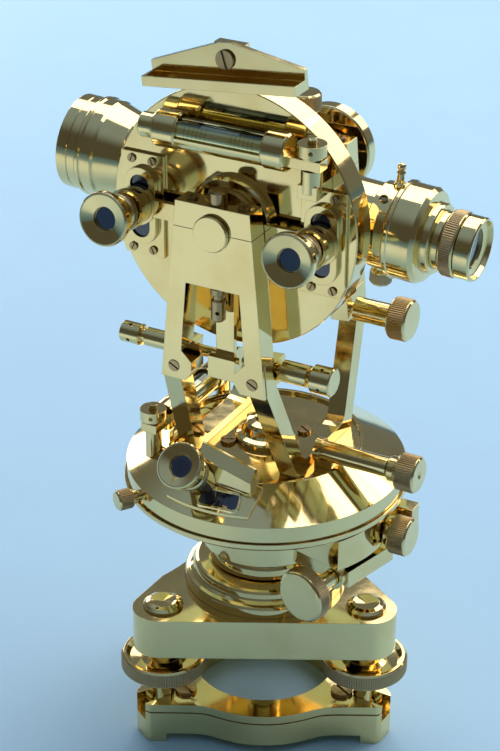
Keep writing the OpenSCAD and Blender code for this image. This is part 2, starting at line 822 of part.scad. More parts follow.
module telescope_tube() {
  color(brass) difference() {
    union() {
      telescope_frame() to_x([0, 0, 0]) turned([[0, -94], [19.6, -94], [19.6, -98.4],
        [21.2, -99], [22, -98.4], [22, -93.4], [21.7, -93], [22, -92.6], [22, -89],
        [21.8, -88.6], [23.2, -87.8], [23.2, -86.4], [bell_r, -85.6], [bell_r, -80.4],
        [21.8, -79], [18.6, -67.4], [tube_r, -66], [tube_r, 54.6], [19, 55], [19.2, 55.4],
        [19.2, 63.2], [18.4, 63.8], [18.4, 64.6], [22, 65.2], [22, 66.6], [21.4, 67],
        [21.4, 77], [20, 79], [15.8, 79.6], [15.8, 82.8], [15.2, 83.4],
        [draw_r + fit, 83.4], [draw_r + fit, 56], [0, 56]]);
      telescope_frame() translate([57.4, 0, -19.6]) rod(5.6, 0, 6);
      to_front([0, 0, axis_z]) rod(18, -24, 26.4);
      to_front([0, 0, axis_z]) rod(8, -40, -20);
      to_front([0, 0, axis_z]) rod(trunnion_r, -66, 54);
      to_front([0, 0, axis_z]) turned([[0, 52.4], [8.2, 52.4], [8.2, 54], [7.8, 54.4], [0, 54.4]]);
    }
    telescope_frame() translate([62, 0, 10]) rod(1.6, 6, 20);
    telescope_frame() translate([57.4, 0, 0]) rod(1.6 + fit, -22, -13.4);
  }
}

module objective_glass() {
  color(glass) telescope_frame() to_x([0, 0, 0])
    turned([[0, -94], [19.4, -94], [19.4, -96], [12, -96.8], [0, -97.2]]);
}

module sight_pin() {
  color(brass) telescope_frame() translate([62, 0, 0]) {
    rod(1.55, 17, 20);
    turned([[0, 18.8], [2.7, 18.8], [2.7, 20.4], [1.8, 21.4], [1.5, 25], [2.1, 25.6], [1.2, 27],
      [0, 27]]);
    translate([0, 0, 28.2]) sphere(r = 1.9, $fn = 48);
  }
}

module vertical_circle() {
  color(silver) to_front([0, 0, axis_z]) difference() {
    rod(55, 26.4, 28);
    rod(trunnion_r, 20, 40);
  }
}

module rear_drum() {
  color(brass) to_y([0, 0, axis_z]) turned([[trunnion_r, 54], [9, 54], [9, 58], [20.6, 58.4],
    [21.4, 59.2], [21.4, 65.2], [20.8, 66], [18.4, 66], [17.6, 63.4], [trunnion_r, 63]]);
}

module draw_tube() {
  color(brass) telescope_frame() to_x([0, 0, 0]) turned([
    [0, 60], [draw_r, 60], [draw_r, 86.6], [12, 87], [12, 94.4], [13.8, 94.5],
    [14.2, 95], [14.2, 101.2], [13.6, 102], [12.8, 102], [12, 100], [9, 99], [9, 97], [0, 97]]);
}

module eyepiece_ring() {
  color(brass) telescope_frame() to_x([0, 0, 0])
    turned([[12 + fit, 87.2], [13.8, 87.2], [14.4, 87.8], [14.4, 93.6], [13.8, 94.2],
      [12 + fit, 94.2]]);
}

module eyepiece_glass() {
  color(glass) telescope_frame() to_x([0, 0, 0]) rod(8.9, 97, 98.6);
}

module focus_knob() {
  color(brass) telescope_frame() translate([57.4, 0, 0])
    turned([[0, -28.2], [4.2, -28.2], [4.8, -27.6], [4.8, -22.4], [4.2, -21.8], [3, -21.6],
      [3, -19.8], [1.6, -19.8], [1.6, -13.8], [0, -13.8]]);
}

// ---------------------------------------------------------------- drawing

trivet_base();
trivet_lock_plate();
trivet_screws();
tribrach();
foot_screw_caps();
tribrach_collar();
foot_screw_left();
foot_screw_right();
foot_screw_back();
limb_pan();
graduated_circle();
lower_clamp_arm();
lower_clamp_knob();
lower_tangent_screw();
cover_plate();
rim_clamp_knob();
centre_cap();
side_frame_left();
side_frame_right();
front_bearing_plate();
rear_bearing_plate();
bearing_caps();
alidade_screws();
plate_level_tube();
plate_level_vial();
plate_level_posts();
plate_level_nut();
circle_reader();
circle_reader_cup();
circle_reader_lens();
upper_tangent_barrel();
upper_tangent_knob();
vertical_tangent_screw();
circle_casing();
window_frames();
window_glasses();
casing_screws();
reader_arm();
reader_cup_left();
reader_cup_right();
altitude_level_tube();
altitude_level_vial();
altitude_level_brackets();
altitude_level_nut();
mirror_bracket();
mirror_glass();
clip_screw_left();
clip_screw_right();
telescope_tube();
objective_glass();
sight_pin();
vertical_circle();
rear_drum();
draw_tube();
eyepiece_ring();
eyepiece_glass();
focus_knob();
vertical_clamp_arm();
vertical_clamp_knob();
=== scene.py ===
"""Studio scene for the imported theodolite: materials, knurled rims, small fittings, floor and light."""

import json
import math

import bpy
from mathutils import Matrix, Vector


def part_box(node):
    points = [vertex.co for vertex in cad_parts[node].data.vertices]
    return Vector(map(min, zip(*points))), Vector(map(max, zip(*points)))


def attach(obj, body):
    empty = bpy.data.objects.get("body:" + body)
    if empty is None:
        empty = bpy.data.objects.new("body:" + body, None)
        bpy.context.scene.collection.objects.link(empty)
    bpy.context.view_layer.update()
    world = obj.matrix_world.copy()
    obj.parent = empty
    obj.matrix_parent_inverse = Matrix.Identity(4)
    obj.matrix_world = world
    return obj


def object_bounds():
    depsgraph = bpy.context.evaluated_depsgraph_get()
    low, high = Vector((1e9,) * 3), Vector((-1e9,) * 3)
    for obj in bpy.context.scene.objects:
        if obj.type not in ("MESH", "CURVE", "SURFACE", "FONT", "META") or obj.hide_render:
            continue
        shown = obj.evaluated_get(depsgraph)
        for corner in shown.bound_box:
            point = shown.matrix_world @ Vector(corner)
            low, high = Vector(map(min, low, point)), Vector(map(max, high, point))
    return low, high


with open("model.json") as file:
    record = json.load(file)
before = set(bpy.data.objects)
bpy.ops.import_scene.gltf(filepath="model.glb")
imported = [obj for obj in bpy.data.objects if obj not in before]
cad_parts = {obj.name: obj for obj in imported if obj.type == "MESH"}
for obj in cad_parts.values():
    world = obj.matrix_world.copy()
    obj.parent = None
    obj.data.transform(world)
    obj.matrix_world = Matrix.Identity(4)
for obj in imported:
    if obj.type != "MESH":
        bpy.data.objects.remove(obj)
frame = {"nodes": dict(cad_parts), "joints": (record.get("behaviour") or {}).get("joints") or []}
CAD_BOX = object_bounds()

MM = 0.001
JOINTS = {joint["name"]: joint for joint in frame["joints"]}
AXIS_HEIGHT = JOINTS["telescope_transit"]["pos_m"][2]
Z_AXIS = Vector((0, 0, 1))

# Camera: direction from the object, its distance, and the point it looks at.
CAMERA_AZIMUTH = math.radians(28.09)
CAMERA_ELEVATION = math.radians(27.80)
CAMERA_ROLL = math.radians(0.35)
CAMERA_DISTANCE = 0.9363
TARGET_HEIGHT = 0.1819
TARGET_SHIFT = -0.0080
LENS = 96.44
SENSOR = 36.0

# Cone of the horizontal circle's cover: outer radius, height there, and rise per inward step.
COVER_R = 66.3 * MM
COVER_BAND_TOP = 139.7 * MM
COVER_SLOPE = 11.3 / 20.3

# Linear colours of the metals.
BRASS = (0.92, 0.73, 0.35)
BRASS_DEEP = (0.86, 0.64, 0.28)
BRONZE = (0.48, 0.34, 0.17)
# Brown of the dark specks, also used as painted shade in corners and recesses.
TARNISH_AND_SHADE = (0.10, 0.065, 0.03)
SILVER = (0.80, 0.79, 0.72)
DULL_SILVER = (0.55, 0.52, 0.42)
MIRROR = (0.9, 0.92, 0.93)
MIRROR_WORN = (0.2, 0.18, 0.15)
ENGRAVING = (0.015, 0.012, 0.01)

# Linear colours of the lenses and the level vials.
NAVY = (0.006, 0.012, 0.045)
# The rim colours of the lenses paint a reflection: a lighter ring near the rim.
NAVY_RIM_REFLECTION = (0.03, 0.05, 0.11)
OLIVE = (0.03, 0.035, 0.015)
OLIVE_RIM_REFLECTION = (0.16, 0.17, 0.08)
VIAL_TINT = (0.94, 0.86, 0.34)
VIAL_CLEAR = (1.0, 0.95, 0.50)
# Dark top of the vials: a painted reflection.
VIAL_TOP_REFLECTION = (0.10, 0.11, 0.08)
VIAL_BUBBLE = (0.34, 0.37, 0.30)
VIAL_MARK = (0.07, 0.06, 0.03)
DUST = (0.35, 0.4, 0.45)

# Linear colours of the paper floor, the lamps and the room round the object.
PAPER = (0.50, 0.745, 0.96)
PAPER_DARK = tuple(0.955 * channel for channel in PAPER)
PAPER_FIBRE = (0.3, 0.5, 0.7)
DAYLIGHT = (1.0, 0.98, 0.95)
SOFT_DAYLIGHT = (1.0, 0.99, 0.97)
LAMPLIGHT = (1.0, 0.66, 0.42)
ROOM_FRONT = (0.075, 0.08, 0.07)
ROOM_BACK = (0.15, 0.17, 0.175)
ROOM_CEILING = (0.22, 0.31, 0.42)
BACKDROP = (0.50, 0.76, 0.97)


# ------------------------------------------------------------------ node helpers

def add(tree, kind, inputs=None, **settings):
    """One shader node. inputs maps a socket name or number to a value or to another node's output."""
    node = tree.nodes.new(kind)
    for key, value in settings.items():
        setattr(node, key, value)
    for key, value in (inputs or {}).items():
        if isinstance(value, bpy.types.NodeSocket):
            tree.links.new(value, node.inputs[key])
        else:
            node.inputs[key].default_value = value
    return node


def math_node(tree, operation, a, b=0.0, c=0.0):
    """Result of one sum. MULTIPLY_ADD gives a * b + c."""
    return add(tree, "ShaderNodeMath", {0: a, 1: b, 2: c}, operation=operation).outputs[0]


def mix_colour(tree, factor, a, b):
    """Colour a where factor is 0, colour b where it is 1."""
    node = add(tree, "ShaderNodeMix", data_type="RGBA")
    for socket, value in ((node.inputs[0], factor), (node.inputs[6], a), (node.inputs[7], b)):
        if isinstance(value, bpy.types.NodeSocket):
            tree.links.new(value, socket)
        elif socket is node.inputs[0]:
            socket.default_value = value
        else:
            socket.default_value = (*value, 1.0)
    return node.outputs[2]


def ramp(tree, value, low, high):
    """0 below low, 1 above high, smooth between."""
    inputs = {0: value, 1: low, 2: high}
    return add(tree, "ShaderNodeMapRange", inputs, interpolation_type="SMOOTHSTEP").outputs[0]


def noise(tree, vector, scale, detail=3.0, rough=0.5):
    inputs = {"Vector": vector, "Scale": scale, "Detail": detail, "Roughness": rough}
    return add(tree, "ShaderNodeTexNoise", inputs).outputs[0]


def local_frame(tree, centre, axis):
    """Coordinates for a part turned about axis: as modelled, with the axis as Z, radius, (x, y, z)."""
    coords = add(tree, "ShaderNodeTexCoord").outputs["Object"]
    moved = add(tree, "ShaderNodeVectorMath", {0: coords, 1: tuple(centre)}, operation="SUBTRACT")
    turn = Vector(axis).rotation_difference(Z_AXIS).to_euler()
    turned = add(
        tree, "ShaderNodeVectorRotate", {"Vector": moved.outputs[0], "Rotation": tuple(turn)},
        rotation_type="EULER_XYZ",
    ).outputs[0]
    parts = add(tree, "ShaderNodeSeparateXYZ", {0: turned})
    flat = add(tree, "ShaderNodeCombineXYZ", {0: parts.outputs[0], 1: parts.outputs[1]})
    radius = add(tree, "ShaderNodeVectorMath", {0: flat.outputs[0]}, operation="LENGTH")
    return coords, turned, radius.outputs["Value"], parts.outputs


def new_material(name):
    material = bpy.data.materials.new(name)
    material.use_nodes = True
    material.node_tree.nodes.clear()
    return material, material.node_tree


def close_material(tree, surface):
    output = add(tree, "ShaderNodeOutputMaterial")
    tree.links.new(surface.outputs[0], output.inputs["Surface"])


# ------------------------------------------------------------------ materials

def brass_colour(tree, coords, patch, bright, tarnish_and_shade):
    """Cloudy brass with dark specks, and painted shade that browns the corners."""
    deep = tuple(a * b / c for a, b, c in zip(bright, BRASS_DEEP, BRASS))
    cloud = noise(tree, coords, 38.0, 4.0, 0.55)
    colour = mix_colour(tree, ramp(tree, cloud, 0.42, 0.75), bright, deep)
    speck = noise(tree, coords, 1500.0, 2.0, 0.6)
    spots = math_node(tree, "MULTIPLY", ramp(tree, speck, 0.66, 0.74), ramp(tree, patch, 0.45, 0.65))
    colour = mix_colour(tree, math_node(tree, "MULTIPLY", spots, 0.55 * tarnish_and_shade), colour, TARNISH_AND_SHADE)
    # Painted shade: an ambient occlusion mask darkens corners and recesses to dark brown.
    corner = add(tree, "ShaderNodeAmbientOcclusion", {"Distance": 0.9 * MM}, samples=4)
    shade = ramp(tree, corner.outputs["AO"], 0.85, 0.35)
    shade = math_node(tree, "MULTIPLY", shade, 0.4 * tarnish_and_shade + 0.55)
    return mix_colour(tree, shade, colour, TARNISH_AND_SHADE)


def lathe_grain(tree, radius, height):
    """Fine rings left by the lathe."""
    rings = add(tree, "ShaderNodeCombineXYZ", {
        0: math_node(tree, "MULTIPLY", radius, 2400.0),
        1: math_node(tree, "MULTIPLY", height, 2400.0),
    }).outputs[0]
    return noise(tree, rings, 1.0, 2.0, 0.6)


def buffed_grain(tree, turned):
    """Fine straight strokes left by filing and buffing."""
    strokes = add(tree, "ShaderNodeMapping", {
        "Vector": turned, "Scale": (260.0, 2600.0, 2600.0), "Rotation": (0.3, 0.2, 0.5),
    }).outputs[0]
    return noise(tree, strokes, 1.0, 3.0, 0.65)


def brass_relief(tree, coords, grain):
    """Softened edges, a faint wave and the tool marks, as a surface normal."""
    rounded = add(tree, "ShaderNodeBevel", {"Radius": 0.35 * MM}, samples=4).outputs[0]
    swell = noise(tree, coords, 70.0, 1.0)
    wave = add(tree, "ShaderNodeBump", {
        "Strength": 0.10, "Distance": 0.6 * MM, "Height": swell, "Normal": rounded,
    }).outputs[0]
    return add(tree, "ShaderNodeBump", {
        "Strength": 0.05, "Distance": 0.03 * MM, "Height": grain, "Normal": wave,
    }).outputs[0]


def brass(name, kind, centre=(0, 0, 0), axis=(0, 0, 1), rough=0.04, tarnish_and_shade=0.5, bright=BRASS):
    """Lacquered polished brass. kind is 'flat' for filed and buffed parts, 'turned' for lathe work."""
    material, tree = new_material(name)
    coords, turned, radius, (_, _, height) = local_frame(tree, centre, axis)
    patch = noise(tree, coords, 130.0, 3.0, 0.6)
    grain = lathe_grain(tree, radius, height) if kind == "turned" else buffed_grain(tree, turned)
    handling = math_node(tree, "MULTIPLY", ramp(tree, patch, 0.35, 0.75), 0.05)
    roughness = math_node(tree, "ADD", math_node(tree, "MULTIPLY_ADD", grain, 0.05, rough), handling)
    surface = add(tree, "ShaderNodeBsdfPrincipled", {
        "Base Color": brass_colour(tree, coords, patch, bright, tarnish_and_shade), "Metallic": 1.0,
        "Roughness": roughness, "Normal": brass_relief(tree, coords, grain),
        "Coat Weight": 0.12, "Coat Roughness": 0.08, "Coat IOR": 1.45,
    })
    close_material(tree, surface)
    return material


def silver_scale(name, centre, axis, divisions, inner, outer):
    """Silvered ring with engraved radial divisions, a longer line at every tenth."""
    material, tree = new_material(name)
    coords, _, radius, (x, y, _) = local_frame(tree, centre, axis)
    angle = math_node(tree, "ARCTAN2", y, x)

    def lines(count, width, start):
        turns = math_node(tree, "MULTIPLY", angle, count / math.tau)
        saw = math_node(tree, "FRACT", turns)
        off = math_node(tree, "ABSOLUTE", math_node(tree, "SUBTRACT", saw, 0.5))
        on_line = math_node(tree, "GREATER_THAN", off, 0.5 - width)
        return math_node(tree, "MULTIPLY", on_line, math_node(tree, "GREATER_THAN", radius, start))

    fine = lines(divisions, 0.14, inner + 0.6 * (outer - inner))
    coarse = lines(divisions / 10, 0.03, inner + 0.3 * (outer - inner))
    engraved = math_node(tree, "MAXIMUM", fine, coarse)
    dull = ramp(tree, noise(tree, coords, 220.0, 4.0), 0.45, 0.75)
    colour = mix_colour(tree, dull, SILVER, DULL_SILVER)
    colour = mix_colour(tree, engraved, colour, ENGRAVING)
    surface = add(tree, "ShaderNodeBsdfPrincipled", {
        "Base Color": colour, "Metallic": 0.9,
        "Roughness": math_node(tree, "MULTIPLY_ADD", dull, 0.15, 0.28),
    })
    close_material(tree, surface)
    return material


def lens_glass(name, centre, axis, rim, deep=NAVY, light=NAVY_RIM_REFLECTION):
    """Dark coated lens: almost black in the middle, with a painted reflection as a lighter ring near the
    rim.
    """
    material, tree = new_material(name)
    coords, _, radius, _ = local_frame(tree, centre, axis)
    # Painted reflection: the colour lightens from the middle towards the rim.
    edge = ramp(tree, radius, 0.55 * rim, rim)
    dust = ramp(tree, noise(tree, coords, 2600.0, 2.0), 0.68, 0.75)
    colour = mix_colour(tree, edge, deep, light)
    colour = mix_colour(tree, math_node(tree, "MULTIPLY", dust, 0.25), colour, DUST)
    surface = add(tree, "ShaderNodeBsdfPrincipled", {
        "Base Color": colour, "Roughness": math_node(tree, "MULTIPLY", dust, 0.3),
        "Specular IOR Level": 0.65, "Coat Weight": 1.0, "Coat Roughness": 0.02,
        "Coat Tint": (0.85, 0.88, 1.0, 1.0),
    })
    close_material(tree, surface)
    return material


def vial_marks(tree, along, start, end):
    """Division lines every 2 mm, between two distances from the middle of the vial."""
    steps = math_node(tree, "FRACT", math_node(tree, "MULTIPLY", along, 1.0 / (2.0 * MM)))
    on_line = math_node(tree, "LESS_THAN", steps, 0.14)
    inside = math_node(tree, "MULTIPLY", math_node(tree, "GREATER_THAN", along, start),
                       math_node(tree, "LESS_THAN", along, end))
    return math_node(tree, "MULTIPLY", math_node(tree, "MULTIPLY", on_line, inside), 0.5)


def vial_glass(name, centre, axis, bubble_half, divisions_half, low):
    """Spirit level vial: tinted liquid, a painted dark reflection above the height low, an air bubble
    and division lines.
    """
    material, tree = new_material(name)
    coords, _, _, (_, _, length) = local_frame(tree, centre, axis)
    along = math_node(tree, "ABSOLUTE", length)
    world_up = add(tree, "ShaderNodeSeparateXYZ", {0: coords}).outputs[2]
    height = math_node(tree, "SUBTRACT", world_up, centre[2])
    in_bubble = math_node(tree, "MULTIPLY", math_node(tree, "LESS_THAN", along, bubble_half),
                          math_node(tree, "GREATER_THAN", height, low + 1.2 * MM))
    swirl = ramp(tree, noise(tree, coords, 90.0, 2.0), 0.3, 0.7)
    colour = mix_colour(tree, swirl, VIAL_TINT, VIAL_CLEAR)
    # Painted reflection: the vial turns dark above the height low.
    colour = mix_colour(tree, ramp(tree, height, low, low + 1.6 * MM), colour, VIAL_TOP_REFLECTION)
    colour = mix_colour(tree, in_bubble, colour, VIAL_BUBBLE)
    marks = vial_marks(tree, along, 0.6 * bubble_half, divisions_half)
    colour = mix_colour(tree, marks, colour, VIAL_MARK)
    surface = add(tree, "ShaderNodeBsdfPrincipled", {
        "Base Color": colour, "Roughness": 0.05, "Metallic": 0.92, "Coat Weight": 0.3,
        "Coat Roughness": 0.02, "Specular IOR Level": 0.7,
    })
    close_material(tree, surface)
    return material


def mirror_silver(name):
    """Silvered looking-glass with a few worn spots."""
    material, tree = new_material(name)
    coords = add(tree, "ShaderNodeTexCoord").outputs["Object"]
    worn = ramp(tree, noise(tree, coords, 420.0, 4.0, 0.6), 0.62, 0.72)
    colour = mix_colour(tree, math_node(tree, "MULTIPLY", worn, 0.6), MIRROR, MIRROR_WORN)
    surface = add(tree, "ShaderNodeBsdfPrincipled", {
        "Base Color": colour, "Metallic": 1.0, "Roughness": math_node(tree, "MULTIPLY", worn, 0.35),
    })
    close_material(tree, surface)
    return material


def paper_floor(name):
    """Pale blue seamless paper with faint mottling."""
    material, tree = new_material(name)
    coords = add(tree, "ShaderNodeTexCoord").outputs["Object"]
    mottle = noise(tree, coords, 14.0, 5.0, 0.6)
    fibre = noise(tree, coords, 420.0, 3.0, 0.6)
    blend = math_node(tree, "MULTIPLY", ramp(tree, mottle, 0.3, 0.7), 0.5)
    colour = mix_colour(tree, blend, PAPER, PAPER_DARK)
    colour = mix_colour(tree, math_node(tree, "MULTIPLY", fibre, 0.06), colour, PAPER_FIBRE)
    relief = add(tree, "ShaderNodeBump", {"Strength": 0.05, "Distance": 0.2 * MM, "Height": fibre})
    surface = add(tree, "ShaderNodeBsdfPrincipled", {
        "Base Color": colour, "Roughness": 0.62, "Specular IOR Level": 0.25,
        "Normal": relief.outputs[0],
    })
    close_material(tree, surface)
    return material


# ------------------------------------------------------------------ paint the CAD nodes

def centre_of(node):
    low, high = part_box(node)
    return (low + high) / 2


def paint(node, material):
    mesh = frame["nodes"][node].data
    mesh.materials.clear()
    mesh.materials.append(material)


def joint_line(name):
    joint = JOINTS[name]
    return Vector(joint["pos_m"]), Vector(joint["axis"]).normalized()


TRUNNION = (Vector((0, 0, AXIS_HEIGHT)), Vector((0, 1, 0)))
UPRIGHT = (Vector((0, 0, 0)), Z_AXIS)
TUBE = (Vector((0, 0, AXIS_HEIGHT)), Vector(JOINTS["draw_tube_slide"]["axis"]).normalized())

TURNED_ABOUT = {
    "limb_pan": UPRIGHT, "cover_plate": UPRIGHT, "centre_cap": UPRIGHT, "tribrach_collar": UPRIGHT,
    "lower_clamp_arm": UPRIGHT, "circle_casing": TRUNNION, "rear_drum": TRUNNION,
    "vertical_clamp_arm": TRUNNION, "telescope_tube": TUBE, "draw_tube": TUBE,
    "foot_screw_left": joint_line("foot_screw_left_turn"),
    "foot_screw_right": joint_line("foot_screw_right_turn"),
    "foot_screw_back": joint_line("foot_screw_back_turn"),
    "lower_clamp_knob": joint_line("lower_clamp_knob_turn"),
    "lower_tangent_screw": joint_line("lower_tangent_screw_turn"),
    "rim_clamp_knob": joint_line("rim_clamp_knob_turn"),
    "plate_level_nut": joint_line("plate_level_nut_turn"),
    "circle_reader_cup": joint_line("circle_reader_focus"),
    "upper_tangent_knob": joint_line("upper_tangent_knob_turn"),
    "upper_tangent_barrel": joint_line("upper_tangent_knob_turn"),
    "vertical_tangent_screw": joint_line("vertical_tangent_screw_turn"),
    "clip_screw_left": joint_line("clip_screw_left_turn"),
    "clip_screw_right": joint_line("clip_screw_right_turn"),
    "reader_cup_left": joint_line("reader_left_focus"),
    "reader_cup_right": joint_line("reader_right_focus"),
    "altitude_level_nut": joint_line("altitude_level_nut_turn"),
    "altitude_level_tube": (centre_of("altitude_level_vial"), Vector((1, 0, 0))),
    "plate_level_tube": (centre_of("plate_level_vial"), Vector((0, 1, 0))),
    "eyepiece_ring": joint_line("eyepiece_ring_turn"),
    "focus_knob": joint_line("focus_knob_turn"),
    "vertical_clamp_knob": joint_line("vertical_clamp_knob_turn"),
    "sight_pin": (centre_of("sight_pin"), joint_line("focus_knob_turn")[1]),
}
FLAT_BRASS = [
    "trivet_base", "trivet_lock_plate", "tribrach", "foot_screw_caps", "side_frame_left",
    "side_frame_right", "front_bearing_plate", "rear_bearing_plate", "bearing_caps",
    "plate_level_posts", "circle_reader", "window_frames", "reader_arm",
    "altitude_level_brackets", "mirror_bracket",
]
DARK_SCREWS = ["trivet_screws", "alidade_screws", "casing_screws"]


def paint_brass():
    for node, (centre, axis) in TURNED_ABOUT.items():
        paint(node, brass("brass_" + node, "turned", centre, axis))
    for node in FLAT_BRASS:
        paint(node, brass("brass_" + node, "flat", centre_of(node)))
    for node in DARK_SCREWS:
        paint(node, brass("brass_" + node, "flat", centre_of(node), rough=0.16, bright=BRONZE))


def paint_silver():
    paint("graduated_circle", silver_scale("scale_horizontal", *UPRIGHT, 720, 50 * MM, 62 * MM))
    paint("vertical_circle", silver_scale("scale_vertical", *TRUNNION, 720, 30 * MM, 55 * MM))
    paint("mirror_glass", mirror_silver("mirror"))


def paint_glass():
    altitude = centre_of("altitude_level_vial")
    plate = centre_of("plate_level_vial")
    reader = joint_line("circle_reader_focus")
    windows = centre_of("window_glasses")
    paint("altitude_level_vial",
          vial_glass("altitude_vial", altitude, (1, 0, 0), 9 * MM, 18 * MM, 3.4 * MM))
    paint("plate_level_vial",
          vial_glass("plate_vial", plate, (0, 1, 0), 7 * MM, 14 * MM, 2.8 * MM))
    paint("objective_glass", lens_glass("objective_lens", *TUBE, 19 * MM))
    paint("eyepiece_glass", lens_glass("eyepiece_lens", *TUBE, 9 * MM, OLIVE, OLIVE_RIM_REFLECTION))
    paint("circle_reader_lens", lens_glass("reader_lens", *reader, 5 * MM))
    paint("window_glasses", lens_glass("window_lens", windows, (0, 1, 0), 70 * MM))


# ------------------------------------------------------------------ knurled rims

def mesh_object(name, verts, faces, material):
    mesh = bpy.data.meshes.new(name)
    mesh.from_pydata([tuple(v) for v in verts], [], faces)
    mesh.validate()
    mesh.update()
    mesh.materials.append(material)
    piece = bpy.data.objects.new(name, mesh)
    bpy.context.scene.collection.objects.link(piece)
    return piece


def band_faces(rows, around):
    """Quads between neighbouring closed rings of points."""
    faces = []
    for row in range(rows - 1):
        for k in range(around):
            a, b = row * around + k, row * around + (k + 1) % around
            faces.append((a, b, b + around, a + around))
    return faces


def fit_piece(piece, body):
    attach(piece, body)


def knurled_rim(name, body, joint, start, end, radius, teeth, depth):
    """Ring of milled ridges round a knob, from start to end along the joint's axis."""
    origin, axis = joint_line(joint)
    turn = Z_AXIS.rotation_difference(axis)
    chamfer = 0.5 * MM
    inset = 0.25 * MM
    rows = [
        (start, radius - inset, 0.0), (start + chamfer, radius + 0.03 * MM, 1.0),
        (end - chamfer, radius + 0.03 * MM, 1.0), (end, radius - inset, 0.0),
    ]
    around = 4 * teeth
    profile = (0.0, 0.6, 1.0, 0.6)
    verts = []
    for height, base, ridge in rows:
        for k in range(around):
            angle = math.tau * k / around
            r = base + ridge * depth * profile[k % 4]
            verts.append(origin + turn @ Vector((r * math.cos(angle), r * math.sin(angle), height)))
    # The rims get a higher setting for specks and painted corner shade, which darkens their grooves.
    material = brass("knurl_" + name, "turned", origin, axis, rough=0.3, tarnish_and_shade=0.9, bright=BRONZE)
    fit_piece(mesh_object(name, verts, band_faces(len(rows), around), material), body)


RIMS = [
    # name, body, joint, start, end, radius, teeth, depth (all in mm)
    ("foot_wheel_rim_left", "foot_screw_left", "foot_screw_left_turn", 23.4, 30.6, 20.5, 110, 0.35),
    ("foot_wheel_rim_right", "foot_screw_right", "foot_screw_right_turn", 23.4, 30.6, 20.5, 110, 0.35),
    ("foot_wheel_rim_back", "foot_screw_back", "foot_screw_back_turn", 23.4, 30.6, 20.5, 110, 0.35),
    ("lower_tangent_rim", "lower_tangent_screw", "lower_tangent_screw_turn", 21.2, 27.4, 12.6, 76, 0.30),
    ("lower_clamp_rim", "lower_clamp_knob", "lower_clamp_knob_turn", 6.4, 14.6, 9.0, 56, 0.30),
    ("rim_clamp_rim", "rim_clamp_knob", "rim_clamp_knob_turn", 6.0, 12.6, 4.6, 32, 0.22),
    ("upper_tangent_rim", "upper_tangent_knob", "upper_tangent_knob_turn", 13.8, 22.6, 8.3, 52, 0.30),
    ("vertical_tangent_rim", "vertical_tangent_screw", "vertical_tangent_screw_turn",
     17.4, 25.6, 9.8, 60, 0.30),
    ("vertical_clamp_rim", "vertical_clamp_knob", "vertical_clamp_knob_turn", -2.6, 4.8, 7.4, 48, 0.28),
    ("focus_rim", "focus_knob", "focus_knob_turn", -3.0, 2.2, 4.8, 34, 0.22),
    ("eyepiece_rim", "eyepiece_ring", "eyepiece_ring_turn", -2.2, 3.6, 14.4, 84, 0.28),
    ("reader_rim_left", "reader_cup_left", "reader_left_focus", 12.8, 15.6, 8.0, 50, 0.22),
    ("reader_rim_right", "reader_cup_right", "reader_right_focus", 12.8, 15.6, 8.0, 50, 0.22),
    ("circle_reader_rim", "circle_reader_cup", "circle_reader_focus", 7.8, 10.6, 8.0, 50, 0.22),
]


def add_rims():
    for name, body, joint, start, end, radius, teeth, depth in RIMS:
        knurled_rim(name, body, joint, start * MM, end * MM, radius * MM, teeth, depth * MM)


# ------------------------------------------------------------------ small fittings

def on_cover(azimuth, radius, lift):
    """Point on the cone of the cover, lifted off it."""
    height = COVER_BAND_TOP + (COVER_R - radius) * COVER_SLOPE
    return Vector((radius * math.cos(azimuth), radius * math.sin(azimuth), height + lift))


def rounded_patch(half_angle, half_width, corner):
    """Outline of a rounded rectangle, as pairs of (along the rim, across the cone)."""
    outline = []
    for sx, sy, start in ((1, 1, 0), (-1, 1, 90), (-1, -1, 180), (1, -1, 270)):
        for step in range(7):
            turn = math.radians(start + 15 * step)
            outline.append((sx * (half_angle - corner) + corner * math.cos(turn),
                            sy * (half_width - corner) + corner * math.sin(turn)))
    return outline


# Window of the circle reader: place on the cone, half sizes and corner of the opening, and the
# rings of its frame from the pane outwards as (growth of the outline, lift off the cone), in mm.
WINDOW_AZIMUTH = math.radians(-84.0)
WINDOW_RADIUS = 57.6 * MM
WINDOW_HALF_LENGTH = 9.0
WINDOW_HALF_WIDTH = 3.6
WINDOW_CORNER = 1.8
WINDOW_RINGS = ((0.0, 1.9), (0.0, 2.5), (0.9, 2.5), (1.1, 1.5))


def window_ring(grow, lift):
    """Outline of the window grown outwards and laid on the cone."""
    outline = rounded_patch(
        (WINDOW_HALF_LENGTH + grow) * MM, (WINDOW_HALF_WIDTH + grow) * MM, (WINDOW_CORNER + grow) * MM)
    return [on_cover(WINDOW_AZIMUTH + along / WINDOW_RADIUS, WINDOW_RADIUS + across, lift * MM)
            for along, across in outline]


def reader_window_frame():
    """Bright raised frame in the saddle of the circle reader."""
    rings = [window_ring(grow, lift) for grow, lift in WINDOW_RINGS]
    faces = [face[::-1] for face in band_faces(len(rings), len(rings[0]))]
    verts = [point for ring in rings for point in ring]
    piece = mesh_object("reader_window_frame", verts, faces, brass("brass_reader_window", "flat"))
    fit_piece(piece, "alidade")


def reader_window_glass():
    """Dark pane inside the frame."""
    edge = window_ring(*WINDOW_RINGS[0])
    middle = len(edge)
    centre = on_cover(WINDOW_AZIMUTH, WINDOW_RADIUS, 1.95 * MM)
    faces = [(middle, (k + 1) % middle, k) for k in range(middle)]
    material = lens_glass("reader_window_glass", centre, Z_AXIS, 10 * MM)
    fit_piece(mesh_object("reader_window_glass", edge + [centre], faces, material), "alidade")


# Screw on the telescope tube: distance along the tube, radius of its seat, angle from the sight
# pin, (height, radius) rows of its head and the depth of its slot, in mm.
SCREW_ALONG = 59.5
SCREW_SEAT = 18.9
SCREW_SPREAD = math.radians(32.0)
SCREW_ROWS = ((0.0, 2.1), (0.9, 2.1), (1.2, 1.7))
SCREW_SLOT = 0.6


